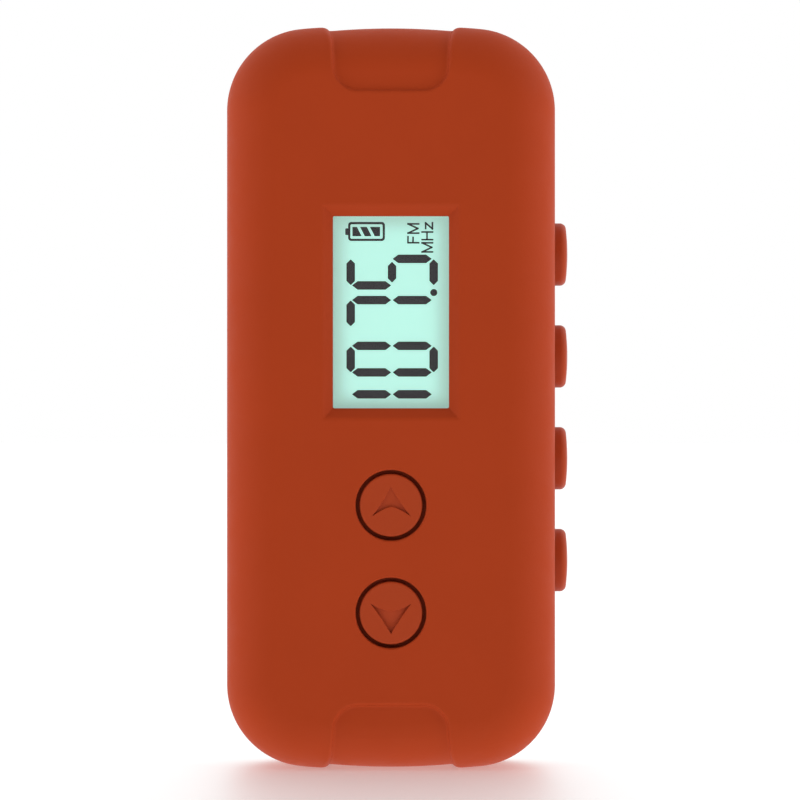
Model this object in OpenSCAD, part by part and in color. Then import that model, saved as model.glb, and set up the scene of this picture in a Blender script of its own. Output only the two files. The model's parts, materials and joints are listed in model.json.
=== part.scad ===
// Pocket FM radio: two-part case with recessed end caps, LCD window, two round
// front keys, four round side keys, AAA battery bay with a tilt-out door,
// rear loudspeaker and a 3.5 mm earphone jack in the top end.
// Working frame inside the modules: x right, y up along the case, z towards the
// front face. stand() turns it so that the radio stands on its lower end, with
// its front face towards -Y.

/* [Case] */
// Width of the case, side to side, without the side keys
body_w = 38; // [38:0.2:40]
// Height of the case, end to end
body_h = 85.8; // [85.8:0.2:88]
// Depth of the case, front face to rear face
body_d = 22; // [22:0.2:23]
// Wall thickness of both case shells
wall = 1.8; // [1.6:0.1:1.8]
// Corner radius of the outline seen from the front
corner_r = 9.5; // [9:0.1:10.5]
// Radius of the slightly crowned end faces
crown_r = 79.2; // [70:0.1:90]
// Rounding from the front face into the sides
front_edge_r = 6; // [5:0.1:6.2]
// Rounding from the rear face into the sides
rear_edge_r = 4.5; // [3.6:0.1:4.6]

/* [End caps] */
// How far the end caps lie below the case surface
cap_step = 0.62; // [0.4:0.01:0.8]
// Half width of the end cap where it meets the end face
cap_half_w = 7.1; // [6.9:0.05:7.3]
// Length of the end cap's flaps on the front and rear faces
cap_flap = 7.6; // [7.2:0.05:7.7]

/* [Display] */
// Width of the visible display
lcd_view_w = 13.32; // [12.5:0.02:14]
// Height of the visible display
lcd_view_h = 22.06; // [21:0.02:23]
// Height of the display centre above the lower end
lcd_y = 52.7; // [52:0.1:53.2]
// Width of the bevel around the display window
bevel = 1.2; // [0.8:0.05:1.4]

/* [Keys] */
// Diameter of the two round front keys
front_key_d = 7.2; // [6.8:0.05:7.5]
// Gap between a front key and its hole
front_key_gap = 0.45; // [0.3:0.05:0.5]
// Height of the upper front key above the lower end
up_key_y = 30.55; // [30.2:0.05:31]
// Height of the lower front key above the lower end
down_key_y = 18.2; // [18:0.05:18.6]
// Diameter of the four round side keys
side_key_d = 7.3; // [6.6:0.05:7.3]
// How far the side keys stand out of the case
side_key_out = 1.6; // [1.2:0.01:1.8]
// Height of the lowest side key above the lower end
side_key_y0 = 23.9; // [23.8:0.05:24.2]
// Distance between side keys
side_key_pitch = 11.91; // [11.6:0.01:11.95]

/* [Battery] */
// Diameter of an AAA cell
cell_d = 10.5; // [10.2:0.05:10.5]
// Length of an AAA cell, with its positive nub
cell_l = 44.5; // [44:0.1:44.5]

/* [Sockets] */
// Diameter of the earphone jack's bore, for a 3.5 mm plug
jack_bore = 3.6; // [3.55:0.01:3.65]
// Diameter of the loudspeaker
speaker_d = 16; // [15:0.1:16]

/* [Hidden] */
$fn = 48;

// Colours
orange = [0.72, 0.27, 0.15];
mint = [0.69, 0.91, 0.85];
ink = [0.2, 0.18, 0.2];
metal = [0.75, 0.75, 0.73];
green = [0.1, 0.35, 0.2];
black = [0.08, 0.08, 0.09];

// Derived sizes. The ends of the case are arcs of crown_r, cut flat at ear_x so
// that the radio stands on two narrow feet beside the lower end cap.
mid = body_h / 2;
zf = body_d / 2;
zr = -body_d / 2;
part_z = zr + 5.5;            // parting plane between the shells
ear_x = 8.8;                  // outer edge of the flat feet
crown_top = mid + crown_r - sqrt(crown_r * crown_r - ear_x * ear_x);   // crown peak above the middle
crown_c = crown_top - crown_r;                                         // crown centre above the middle
corner_x = body_w / 2 - corner_r;
corner_y = crown_c + sqrt(pow(crown_r - corner_r, 2) - corner_x * corner_x);
corner_a = atan2(corner_y - crown_c, corner_x);
z_in = zf - wall;             // inner surface of the front wall
board_z = zf - 5.8;           // front surface of the main board
board_t = 1.2;
rest_gap = 0.1;               // gap between a key's flange and the wall it stops on
key_travel = 0.5;
bay_y0 = 9.55;                 // battery bay, inside
bay_l = cell_l + 3.9;
bay_x = cell_d + 0.25;
bay_floor = zr + 12.2;
door_x = bay_x + 0.95;
door_y0 = 8.9;
door_l = bay_l + 1.7;
door_t = 1.6;
cell_z = zr + 1.75 + cell_d / 2 - 0.1;
boss_x = body_w / 2 - 4.7;
boss_low = 12;
boss_high = body_h - 13.8;
speaker_y = body_h - 17.5;
speaker_z = zr + wall;        // inner surface of the rear wall
jack_z = board_z - board_t - 2.7;
jack_top = mid + crown_top - cap_step - 0.55;
side_x = body_w / 2 - wall;   // inner surface of the side wall
side_board_x = side_x - 4.3;
posts = [[-12.5, body_h - 19.3], [12.5, body_h - 19.3], [-7, 11.6]];
side_ys = [for (i = [3:-1:0]) side_key_y0 + i * side_key_pitch];

// Turns the working frame so that the radio stands up, front face towards -Y
// and its overall width, side keys included, is centred on the origin
module stand() { translate([-side_key_out / 2, 0, 0]) rotate([90, 0, 0]) children(); }

// Points of an arc
function arc(cx, cy, r, a0, a1, n) = [for (i = [0:n]) [cx + r * cos(a0 + (a1 - a0) * i / n), cy + r * sin(a0 + (a1 - a0) * i / n)]];

// Rounded rectangle about its centre
function rr(w, h, r, n = 5) = concat(
    arc(w / 2 - r, h / 2 - r, r, 0, 90, n), arc(-w / 2 + r, h / 2 - r, r, 90, 180, n),
    arc(-w / 2 + r, -h / 2 + r, r, 180, 270, n), arc(w / 2 - r, -h / 2 + r, r, 270, 360, n));

// Upper right quarter of the case outline, inset by d, about the middle
function quarter(d) = concat(
    arc(corner_x, corner_y, corner_r - d, 0, corner_a, 8),
    [for (x = [ear_x, 7.2, 4.8, 2.4]) [x, min(mid, crown_c + sqrt(pow(crown_r - d, 2) - x * x))]]);
function flip(p, sx, sy) = [for (q = p) [q[0] * sx, q[1] * sy]];
function back(p) = [for (i = [len(p) - 1:-1:0]) p[i]];
function peak(d) = min(mid, crown_c + crown_r - d);
function outline(d) = [for (q = concat(quarter(d), [[0, peak(d)]], back(flip(quarter(d), -1, 1)), flip(quarter(d), -1, -1), [[0, -peak(d)]], back(flip(quarter(d), 1, -1)))) [q[0], q[1] + mid]];

// Inset and height of each ring of points round the case, rear to front
function rings(d) = concat(
    [for (a = [90:-15:0]) [rear_edge_r - (rear_edge_r - d) * cos(a), zr + rear_edge_r - (rear_edge_r - d) * sin(a)]],
    [for (a = [0:15:90]) [front_edge_r - (front_edge_r - d) * cos(a), zf - front_edge_r + (front_edge_r - d) * sin(a)]]);

// The case's outer form, inset all round by d
module body_form(d = 0) {
    r = rings(d); n = len(outline(0)); m = len(r);
    polyhedron(points = [for (k = r) for (q = outline(k[0])) [q[0], q[1], k[1]]],
        faces = concat([[for (i = [0:n - 1]) i]], [[for (i = [n - 1:-1:0]) (m - 1) * n + i]],
            [for (k = [0:m - 2], i = [0:n - 1]) [k * n + i, (k + 1) * n + i, (k + 1) * n + (i + 1) % n]],
            [for (k = [0:m - 2], i = [0:n - 1]) [k * n + i, (k + 1) * n + (i + 1) % n, k * n + (i + 1) % n]]));
}

// Everything in front of z0 and behind z1
module slab(z0, z1) { translate([-60, -10, z0]) cube([120, body_h + 20, z1 - z0]); }

// The end cap's outline at the lower end, grown by g
function cap_outline(g) = concat(
    [[-cap_half_w - g - 0.1, -3], [-cap_half_w - g, 0.3]],
    arc(-cap_half_w + 3.65, cap_flap - 3.3, 3.3 + g, 180, 90, 6),
    arc(cap_half_w - 3.65, cap_flap - 3.3, 3.3 + g, 90, 0, 6),
    [[cap_half_w + g, 0.3], [cap_half_w + g + 0.1, -3]]);
module cap_prism(g, z0 = -30, z1 = 30) { translate([0, 0, z0]) linear_extrude(z1 - z0) polygon(cap_outline(g)); }
// Copies a shape made for the lower end to the upper end
module at_top() { translate([0, body_h, 0]) mirror([0, 1, 0]) children(); }

module boss_places() { for (x = [-boss_x, boss_x], y = [boss_low, boss_high]) translate([x, y, 0]) children(); }

module front_case() {
    stand() color(orange) difference() {
        union() {
            intersection() {
                difference() { body_form(0); body_form(wall); }
                slab(part_z, 30);
            }
            // screw bosses and main board posts, grown from the front wall
            boss_places() translate([0, 0, part_z + 0.05]) cylinder(r = 2.1, h = z_in - part_z + 0.2);
            for (p = posts) translate([p[0], p[1], board_z]) cylinder(r = 1.9, h = z_in - board_z + 0.2);
        }
        cap_prism(0);
        at_top() cap_prism(0);
        // pilot holes
        boss_places() translate([0, 0, part_z - 1]) cylinder(r = 1.02, h = 8.4);
        for (p = posts) translate([p[0], p[1], board_z - 1]) cylinder(r = 0.82, h = 4);
        // display window: through cut, bevelled frame, and a seat for the lens behind
        translate([0, lcd_y, z_in - 1]) linear_extrude(wall + 2) polygon(rr(lcd_view_w, lcd_view_h, 0.4, 3));
        translate([0, lcd_y, 0]) window_bevel();
        translate([0, lcd_y, z_in - 1]) linear_extrude(1.4) polygon(rr(lcd_view_w + 4.3, lcd_view_h + 4.5, 0.8, 3));
        // front key holes
        for (y = [up_key_y, down_key_y]) translate([0, y, z_in - 1]) cylinder(d = front_key_d + 2 * front_key_gap, h = wall + 2);
        // side key holes
        for (y = side_ys) translate([side_x - 1, y, 0]) rotate([0, 90, 0]) cylinder(d = side_key_d + 0.5, h = wall + 3);
    }
}

// Four-sided bevel around the display
module window_bevel() {
    w0 = lcd_view_w / 2; h0 = lcd_view_h / 2; b = bevel * 1.1; z0 = zf - 0.9; z1 = zf + 0.09;
    polyhedron(points = [[-w0, -h0, z0], [w0, -h0, z0], [w0, h0, z0], [-w0, h0, z0],
            [-w0 - b, -h0 - b, z1], [w0 + b, -h0 - b, z1], [w0 + b, h0 + b, z1], [-w0 - b, h0 + b, z1]],
        faces = [[0, 1, 2, 3], [7, 6, 5, 4], [0, 4, 5, 1], [1, 5, 6, 2], [2, 6, 7, 3], [3, 7, 4, 0]]);
}

module rear_case() {
    stand() color(orange) difference() {
        union() {
            intersection() {
                difference() { body_form(0); body_form(wall); }
                slab(-30, part_z);
            }
            // lip that locates the rear shell inside the front shell, open at the bosses
            difference() {
                intersection() {
                    difference() { body_form(wall + 0.08); body_form(wall + 0.9); }
                    slab(part_z - 1.5, part_z + 0.8);
                }
                cap_prism(1.35);
                at_top() cap_prism(1.35);
                boss_places() translate([0, 0, part_z]) cylinder(r = 2.3, h = 3);
            }
            // battery bay: ledge under the door, walls and floor
            translate([0, bay_y0 + bay_l / 2, zr + 1.7]) linear_extrude(1) polygon(rr(2 * door_x + 2.4, door_l + 2.6, 1.5, 3));
            translate([-bay_x - 1, bay_y0 - 1, zr + 1.7]) cube([2 * bay_x + 2, bay_l + 2, bay_floor + 1 - zr - 1.7]);
            // screw bosses
            boss_places() translate([0, 0, zr + 1]) cylinder(r = 2.7, h = part_z - 0.05 - zr - 1);
            // loudspeaker ring
            difference() {
                translate([0, speaker_y, zr + 1.6]) cylinder(r = speaker_d / 2 + 0.9, h = 3.4);
                at_top() cap_prism(1.35);
                translate([-20, 0, zr]) cube([40, bay_y0 + bay_l, 10]);
            }
        }
        cap_prism(0);
        at_top() cap_prism(0);
        // keep the outer form clear of boss and ledge ends
        translate([-30, -10, zr - 5]) cube([60, body_h + 20, 5]);
        // battery bay inside, and the door opening
        translate([-bay_x, bay_y0, zr - 1]) cube([2 * bay_x, bay_l, bay_floor - zr + 1]);
        translate([0, door_y0 + door_l / 2, zr - 1]) linear_extrude(2.7) polygon(rr(2 * door_x + 0.3, door_l + 0.3, 1.6, 4));
        // slots for the door's two hooks
        for (s = [-1, 1]) translate([s * 9 - 1.5, door_y0 - 1.5, zr + 1.65]) cube([3, 3.9, 1.6]);
        // screw holes and counterbores
        boss_places() {
            translate([0, 0, zr - 1]) cylinder(r = 1.9, h = 3.2);
            translate([0, 0, zr]) cylinder(r = 1.15, h = 8);
        }
        // loudspeaker seat and grille slots
        translate([0, speaker_y, zr + wall]) cylinder(r = speaker_d / 2 + 0.1, h = 6);
        for (i = [-2:2]) translate([0, speaker_y + i * 2.3, zr - 1]) linear_extrude(4) slot2d(2 * sqrt(38 - pow(i * 2.3, 2)), 1.1);
        // thumb scoop above the door
        translate([0, door_y0 + door_l + 0.6, zr - 3.2]) rotate([0, 90, 0]) cylinder(r = 3.9, h = 7, center = true);
        // holes for the battery leads
        for (x = [-7, 7]) translate([x, bay_y0 + bay_l - 0.5, -0.2]) rotate([-90, 0, 0]) cylinder(r = 0.75, h = 2);
    }
}

// Slot with round ends, along x
module slot2d(l, w) {
    square([l - w, w], center = true);
    for (s = [-1, 1]) translate([s * (l - w) / 2, 0]) circle(d = w, $fn = 24);
}

// Saddle-shaped cap that closes one end of the case, recessed by cap_step
module end_cap() {
    difference() {
        union() {
            intersection() { body_form(cap_step); cap_prism(-0.06); }
            intersection() { body_form(wall + 0.08); cap_prism(1.2, zr + 1, zf - 1); }
        }
        body_form(wall + 1.1);
        translate([-30, cap_flap + 3, -30]) cube([60, 100, 60]);
        // room for the ledge under the battery door
        translate([-30, cap_flap - 0.25, zr + 1.6]) cube([60, 100, 4]);
    }
}
module bottom_end_cap() { stand() color(orange) end_cap(); }
module top_end_cap() {
    stand() color(orange) difference() {
        at_top() end_cap();
        translate([0, body_h - 8, jack_z]) rotate([-90, 0, 0]) cylinder(r = 2.6, h = 12);
    }
}

module battery_door() {
    stand() color(orange) difference() {
        union() {
            translate([0, door_y0 + door_l / 2, zr]) linear_extrude(door_t) polygon(rr(2 * door_x, door_l, 1.5, 4));
            // hooks that reach under the case wall
            for (s = [-1, 1]) {
                translate([s * 9 - 1.3, door_y0 - 1.2, zr + 1.95]) cube([2.6, 1.8, 0.8]);
                translate([s * 9 - 1.3, door_y0 + 0.05, zr + 1]) cube([2.6, 0.55, 1.6]);
            }
            // stiffening ribs over the cells' valley
            translate([-0.5, door_y0 + 5, zr + 1.5]) cube([1, door_l - 14, 1]);
        }
        // spring tongue: two slots from the upper edge
        for (s = [-1, 1]) translate([s * 5.2 - 0.35, door_y0 + door_l - 7, zr - 1]) cube([0.7, 8, 4]);
        // thumb recess with grip ribs
        difference() {
            translate([-3.8, door_y0 + door_l - 6.6, zr - 1]) cube([7.6, 4.8, 1.6]);
            for (i = [0:2]) translate([-3.4, door_y0 + door_l - 6 + i * 1.4, zr + 0.1]) cube([6.8, 0.6, 1]);
        }
    }
}

// ---- Display ----
module display_lens() {
    stand() color([0.85, 0.95, 0.95, 0.4]) translate([0, lcd_y, z_in - 0.7]) linear_extrude(1.08) polygon(rr(lcd_view_w + 4.1, lcd_view_h + 4.3, 0.7, 3));
}
module lens_gasket() {
    stand() color(black) translate([0, lcd_y, z_in - 1]) linear_extrude(0.3) difference() {
        polygon(rr(lcd_view_w + 4.1, lcd_view_h + 4.3, 0.7, 3));
        polygon(rr(lcd_view_w + 1, lcd_view_h + 1, 0.4, 3));
    }
}
module lcd_panel() {
    stand() color(mint) translate([0, lcd_y, z_in - 1.8]) linear_extrude(0.8) polygon(rr(lcd_view_w + 4.2, lcd_view_h + 4.8, 0.3, 2));
    // rear glass is shorter where the contact ledge is
    stand() color(mint) translate([0, lcd_y + 0.8, z_in - 2.6]) linear_extrude(0.8) polygon(rr(lcd_view_w + 4.2, lcd_view_h + 3.2, 0.3, 2));
}
module lcd_backlight() {
    stand() color("white") translate([0, lcd_y + 0.8, z_in - 3.6]) linear_extrude(0.98) polygon(rr(lcd_view_w + 4, lcd_view_h + 2, 0.3, 2));
}
module lcd_frame() {
    stand() color("white") translate([0, lcd_y, board_z]) linear_extrude(2.6) difference() {
        polygon(rr(lcd_view_w + 6, lcd_view_h + 6.6, 1, 3));
        polygon(rr(lcd_view_w + 4.4, lcd_view_h + 5, 0.3, 2));
    }
}
module zebra_strip() {
    stand() color([0.9, 0.5, 0.6]) translate([-8, lcd_y - lcd_view_h / 2 - 2.2, board_z]) cube([16, 1, z_in - 1.82 - board_z]);
}

// A seven-segment bar of length l along x, with pointed ends
module bar(l, w = 0.95) { polygon([[-l / 2, 0], [-l / 2 + w / 2, w / 2], [l / 2 - w / 2, w / 2], [l / 2, 0], [l / 2 - w / 2, -w / 2], [-l / 2 + w / 2, -w / 2]]); }
// Reading direction: u runs up the case, v runs to the left.
// Bars of one digit, centred on u: a top, b upper right, c lower right, d bottom, e lower left, f upper left, g middle
module digit(u, on) {
    lv = 4.4; lh = 2.95; wu = 1.55;
    if (on[0]) translate([-4.62, u]) rotate(90) bar(lh);
    if (on[3]) translate([4.9, u]) rotate(90) bar(lh);
    if (on[6]) translate([0.13, u]) rotate(90) bar(lh - 0.6);
    if (on[5]) translate([-2.22, u - wu]) bar(lv);
    if (on[1]) translate([-2.22, u + wu]) bar(lv);
    if (on[4]) translate([2.45, u - wu]) bar(lv);
    if (on[2]) translate([2.45, u + wu]) bar(lv);
}
module lcd_segments() {
    stand() color(ink) translate([0, lcd_y, z_in - 1]) linear_extrude(0.05) {
        digit(-10.92, [false, true, true, false, false, false, false]);
        digit(-5.36, [true, true, true, true, true, true, false]);
        digit(-0.11, [true, true, true, false, false, false, false]);
        digit(4.63, [true, false, true, true, false, true, true]);
        translate([4.92, 2.3]) circle(r = 0.42);
        // battery symbol
        translate([-2.83, 9.32]) { difference() { square([4.3, 2.2], center = true); square([3.8, 1.7], center = true); } translate([-2.25, 0]) square([0.3, 0.8], center = true); for (i = [-1:1]) translate([i * 1.1, 0]) polygon([[-0.55, 0.5], [0.1, 0.5], [0.5, -0.5], [-0.15, -0.5]]); }
    }
}

// ---- Keys ----
// Round front key with a flange behind the wall, on its own axis, front face at z = zf - 0.1
module front_key(sgn) {
    r = front_key_d / 2;
    difference() {
        rotate_extrude() polygon(concat([[0, z_in - 1.8], [1.5, z_in - 1.8], [1.5, z_in - 1], [r + 0.9, z_in - 1], [r + 0.9, z_in - rest_gap], [r, z_in - rest_gap]],
            arc(r - 0.35, zf - 0.45, 0.35, 0, 90, 4), [[0, zf - 0.1]]));
        // engraved arrowhead
        translate([0, 0, zf - 0.32]) linear_extrude(1) polygon([[0, sgn * 2.05], [2.3, -sgn * 1.3], [0, -sgn * 0.12], [-2.3, -sgn * 1.3]]);
    }
}
module up_key() { stand() color(orange) translate([0, up_key_y, 0]) front_key(1); }
module down_key() { stand() color(orange) translate([0, down_key_y, 0]) front_key(-1); }

// Round side key along +x, with a slightly domed face and a flange inside the wall
module side_key(i) {
    r = side_key_d / 2; x1 = body_w / 2 + side_key_out;
    stand() color(orange) translate([0, side_ys[i], 0]) rotate([0, 90, 0]) rotate_extrude() polygon(concat(
        [[0, side_x - 1.1], [r + 0.8, side_x - 1.1], [r + 0.8, side_x - rest_gap], [r, side_x - rest_gap]],
        arc(r - 0.5, x1 - 0.78, 0.5, 0, 75, 5), [[r - 1.6, x1 - 0.08], [r - 2.6, x1 - 0.02], [0, x1]]));
}
module side_key_1() { side_key(0); }
module side_key_2() { side_key(1); }
module side_key_3() { side_key(2); }
module side_key_4() { side_key(3); }

// Tact switch body, 1.5 high, opening towards +z at z = 1.5
module switch_body() {
    color(black) difference() {
        translate([-2.3, -2.3, 0]) cube([4.6, 4.6, 1.5]);
        translate([0, 0, 0.3]) cylinder(r = 1.15, h = 2);
    }
    color(metal) for (s = [-1, 1], t = [-1, 1]) translate([s * 2.6 - 0.3, t * 1.5 - 0.35, 0]) cube([0.6, 0.7, 0.25]);
}
module plunger() { color([0.9, 0.9, 0.88]) translate([0, 0, 0.9]) cylinder(r = 1.1, h = 1.3); }
module front_key_switches() { stand() for (y = [up_key_y, down_key_y]) translate([0, y, board_z]) switch_body(); }
module up_switch_plunger() { stand() translate([0, up_key_y, board_z]) plunger(); }
module down_switch_plunger() { stand() translate([0, down_key_y, board_z]) plunger(); }
module side_place(i) { stand() translate([side_board_x + 1, side_ys[i], 0]) rotate([0, 90, 0]) children(); }
module side_key_switches() { for (i = [0:3]) side_place(i) switch_body(); }
module side_switch_plunger_1() { side_place(0) plunger(); }
module side_switch_plunger_2() { side_place(1) plunger(); }
module side_switch_plunger_3() { side_place(2) plunger(); }
module side_switch_plunger_4() { side_place(3) plunger(); }

// ---- Boards ----
module main_board() {
    stand() color(green) difference() {
        translate([0, mid + 0.2, board_z - board_t]) linear_extrude(board_t) polygon(rr(31, body_h - 12.4, 5, 4));
        boss_places() translate([0, 0, board_z - 3]) cylinder(r = 2.7, h = 6);
        for (s = [-1, 1], y = [boss_low, boss_high]) translate([s * 16.3 - 2, y - 2.7, board_z - 3]) cube([4, 5.4, 6]);
        for (p = posts) translate([p[0], p[1], board_z - 3]) cylinder(r = 0.95, h = 6);
    }
}
module side_key_board() {
    stand() color(green) translate([side_board_x, side_ys[3] - 4, -4.2]) cube([1, side_ys[0] - side_ys[3] + 8, board_z - board_t + 4.2]);
}
module chip(w, l, h, pins, pitch) {
    color(black) translate([-w / 2, -l / 2, 0.1]) cube([w, l, h]);
    color(metal) for (s = [-1, 1], i = [0:pins - 1]) translate([s * (w / 2 + 0.35) - 0.35, (i - (pins - 1) / 2) * pitch - 0.12, 0]) cube([0.7, 0.24, 0.25]);
}
module tuner_chip() { stand() translate([-8.6, 26, board_z]) chip(4, 5, 1.1, 8, 0.6); }
module amplifier_chip() { stand() translate([8.6, 26, board_z]) chip(4, 5, 1.3, 4, 1.27); }
module crystal() { stand() color(metal) translate([-8.5, 19.4, board_z + 1.05]) rotate([0, 90, 0]) cylinder(r = 1, h = 6, center = true); }
module capacitors() {
    stand() for (p = [[7.8, 17.5], [7.8, 13]]) translate([p[0], p[1], board_z + 1.6]) color([0.12, 0.16, 0.3]) rotate([0, 90, 0]) cylinder(r = 1.55, h = 5.4, center = true);
}
module chip_resistors() {
    stand() color([0.15, 0.13, 0.12]) for (i = [0:5], s = [-1, 1]) translate([s * 13 - 0.8, 22 + i * 1.9, board_z]) cube([1.6, 0.8, 0.5]);
}
module aerial_coil() {
    stand() color([0.7, 0.4, 0.2]) translate([-8.4, 33, board_z + 1.3]) rotate([0, 90, 0]) difference() { cylinder(r = 1.2, h = 5, center = true); cylinder(r = 0.7, h = 6, center = true); }
}

// ---- Earphone jack ----
module earphone_jack() {
    stand() color(black) difference() {
        union() {
            translate([-3.1, body_h - 14.4, jack_z - 2.7]) cube([6.2, 11.6, 5.4]);
            translate([0, body_h - 3, jack_z]) rotate([-90, 0, 0]) cylinder(r = 2.4, h = jack_top - 0.4 - body_h + 3);
        }
        translate([0, jack_top - 0.4 - 12, jack_z]) rotate([-90, 0, 0]) cylinder(d = jack_bore, h = 20);
    }
}
module jack_ring() {
    stand() color(metal) translate([0, jack_top - 0.4, jack_z]) rotate([-90, 0, 0]) difference() {
        cylinder(r = 2.4, h = 0.4);
        translate([0, 0, -1]) cylinder(d = jack_bore + 0.1, h = 3);
    }
}
module jack_contacts() {
    stand() color(metal) for (s = [-1, 1], i = [0:1]) translate([s * 3.45 - 0.3, body_h - 13 + i * 5, jack_z + 0.6]) cube([0.6, 1.6, 2.1]);
}

// ---- Loudspeaker, facing the rear grille ----
module speaker_frame() {
    r = speaker_d / 2;
    stand() color([0.3, 0.3, 0.32]) translate([0, speaker_y, speaker_z]) rotate_extrude() polygon([[r - 1.3, 0.25], [r, 0.25], [r, 1], [r - 0.4, 1.4], [4.6, 2.4], [4.6, 2], [r - 1.1, 1.1]]);
}
module speaker_gasket() {
    stand() color(black) translate([0, speaker_y, speaker_z]) difference() {
        cylinder(r = speaker_d / 2, h = 0.25);
        translate([0, 0, -1]) cylinder(r = speaker_d / 2 - 1.3, h = 3);
    }
}
module speaker_cone() {
    r = speaker_d / 2;
    stand() color([0.2, 0.2, 0.22]) translate([0, speaker_y, speaker_z]) rotate_extrude() polygon([[0, 0.9], [1.6, 1], [2.4, 1.35], [r - 2.6, 0.6], [r - 1.9, 0.35], [r - 1.35, 0.6], [r - 1.35, 0.75], [r - 1.9, 0.5], [r - 2.6, 0.75], [2.4, 1.55], [1.6, 1.2], [0, 1.1]]);
}
module speaker_magnet() {
    stand() color(metal) translate([0, speaker_y, speaker_z + 2.0]) cylinder(r = 4.58, h = 2.1);
}

// ---- Batteries and contacts: left cell positive up, right cell positive down ----
module cell_place(s) {
    if (s < 0) translate([-bay_x / 2, bay_y0 + 0.3 + 3.2, cell_z]) rotate([-90, 0, 0]) children();
    else translate([bay_x / 2, bay_y0 + 0.3 + cell_l, cell_z]) rotate([90, 0, 0]) children();
}
module battery_cells() {
    stand() color([0.15, 0.16, 0.2]) for (s = [-1, 1]) cell_place(s) rotate_extrude() polygon(concat([[0, 0.2], [cell_d / 2 - 0.5, 0.2]],
        arc(cell_d / 2 - 0.4, 0.6, 0.4, -90, 0, 3), arc(cell_d / 2 - 0.4, cell_l - 1.6, 0.4, 0, 90, 3), [[0, cell_l - 1.2]]));
}
module cell_terminals() {
    stand() color(metal) for (s = [-1, 1]) cell_place(s) {
        translate([0, 0, cell_l - 1.2]) cylinder(r = 1.9, h = 1.2);
        cylinder(r = 3.6, h = 0.2);
    }
}
module positive_contact() {
    stand() color(metal) translate([-bay_x + 0.6, bay_y0 + bay_l - 0.4, cell_z - 3.6]) cube([bay_x - 1.4, 0.3, 7.2]);
}
module negative_contact() {
    stand() color(metal) translate([0.8, bay_y0 + bay_l - 0.4, cell_z - 3.6]) cube([bay_x - 1.4, 0.3, 7.2]);
}
module series_bridge() {
    stand() color(metal) translate([-bay_x + 0.6, bay_y0 + 0.05, cell_z - 3.6]) cube([2 * bay_x - 1.2, 0.25, 7.2]);
}
// Conical coil of wire diameter w, from radius r0 at z 0 to r1 at height h
module coil(r0, r1, h, turns, w) {
    n = 14; m = 6; k = round(turns * n);
    // first and last turns lie flat
    function zz(i) = w / 2 + (h - w) * max(0, min(1, (i / n - 0.8) / (turns - 1.6)));
    function rad(i) = r0 + (r1 - r0) * i / k;
    pts = [for (i = [0:k], j = [0:m - 1]) let(a = 360 * i / n, b = 360 * j / m, r = rad(i) + w / 2 * cos(b)) [r * cos(a), r * sin(a), zz(i) + w / 2 * sin(b)]];
    polyhedron(points = pts, faces = concat(
        [[for (j = [0:m - 1]) j]], [[for (j = [m - 1:-1:0]) k * m + j]],
        [for (i = [0:k - 1], j = [0:m - 1]) [i * m + j, (i + 1) * m + j, (i + 1) * m + (j + 1) % m]],
        [for (i = [0:k - 1], j = [0:m - 1]) [i * m + j, (i + 1) * m + (j + 1) % m, i * m + (j + 1) % m]]));
}
module contact_springs() {
    stand() color(metal) {
        translate([-bay_x / 2, bay_y0 + 0.3, cell_z]) rotate([-90, 0, 0]) coil(3.3, 2, 3.18, 4, 0.55);
        translate([bay_x / 2, bay_y0 + bay_l - 0.4, cell_z]) rotate([90, 0, 0]) coil(3.3, 2, 3.18, 4, 0.55);
    }
}
// Round wire through points
module wire(p, r) {
    for (i = [0:len(p) - 2]) let(v = p[i + 1] - p[i], l = norm(v))
        translate(p[i]) rotate([0, acos(v[2] / l), atan2(v[1], v[0])]) cylinder(r = r, h = l, $fn = 20);
    for (i = [1:len(p) - 2]) translate(p[i]) sphere(r = r, $fn = 20);
}
module battery_leads() {
    y = bay_y0 + bay_l;
    stand() for (s = [-1, 1]) color(s < 0 ? "red" : black) wire([[s * 7, y - 0.08, -0.2], [s * 7, y + 2, -0.2], [s * 7, y + 4, 1.6], [s * 7, y + 4, board_z - board_t]], 0.5);
}
module speaker_leads() {
    stand() for (s = [-1, 1]) color(s < 0 ? "red" : black) translate([s * 6.4, speaker_y, speaker_z + 1.97]) cylinder(r = 0.4, h = board_z - board_t - speaker_z - 1.97);
}

// ---- Fasteners ----
module screw(rh, hh, rs, ls) {
    // head from z = 0 to hh towards -z side of the shank, shank along +z
    difference() {
        union() { cylinder(r = rh, h = hh); translate([0, 0, hh]) cylinder(r = rs, h = ls); }
        for (a = [0, 90]) rotate(a) translate([-rh * 0.6, -0.22, -1]) cube([rh * 1.2, 0.44, 1.7]);
    }
}
module case_screws() { stand() color(metal) boss_places() translate([0, 0, zr + 0.9]) screw(1.75, 1.3, 1, 9.2); }
module board_screws() { stand() color(metal) for (p = posts) translate([p[0], p[1], board_z - board_t - 1.3]) screw(1.6, 1.3, 0.8, 3.8); }

front_case();
rear_case();
top_end_cap();
bottom_end_cap();
battery_door();
display_lens();
lens_gasket();
lcd_panel();
lcd_segments();
lcd_backlight();
lcd_frame();
zebra_strip();
up_key();
down_key();
side_key_1();
side_key_2();
side_key_3();
side_key_4();
up_switch_plunger();
down_switch_plunger();
side_switch_plunger_1();
side_switch_plunger_2();
side_switch_plunger_3();
side_switch_plunger_4();
front_key_switches();
side_key_switches();
main_board();
side_key_board();
tuner_chip();
amplifier_chip();
crystal();
capacitors();
chip_resistors();
aerial_coil();
earphone_jack();
jack_ring();
jack_contacts();
speaker_frame();
speaker_magnet();
speaker_cone();
speaker_gasket();
battery_cells();
cell_terminals();
positive_contact();
negative_contact();
series_bridge();
contact_springs();
battery_leads();
speaker_leads();
case_screws();
board_screws();
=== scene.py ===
import json
import math
import bpy
import numpy as np
from mathutils import Matrix, Vector


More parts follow.
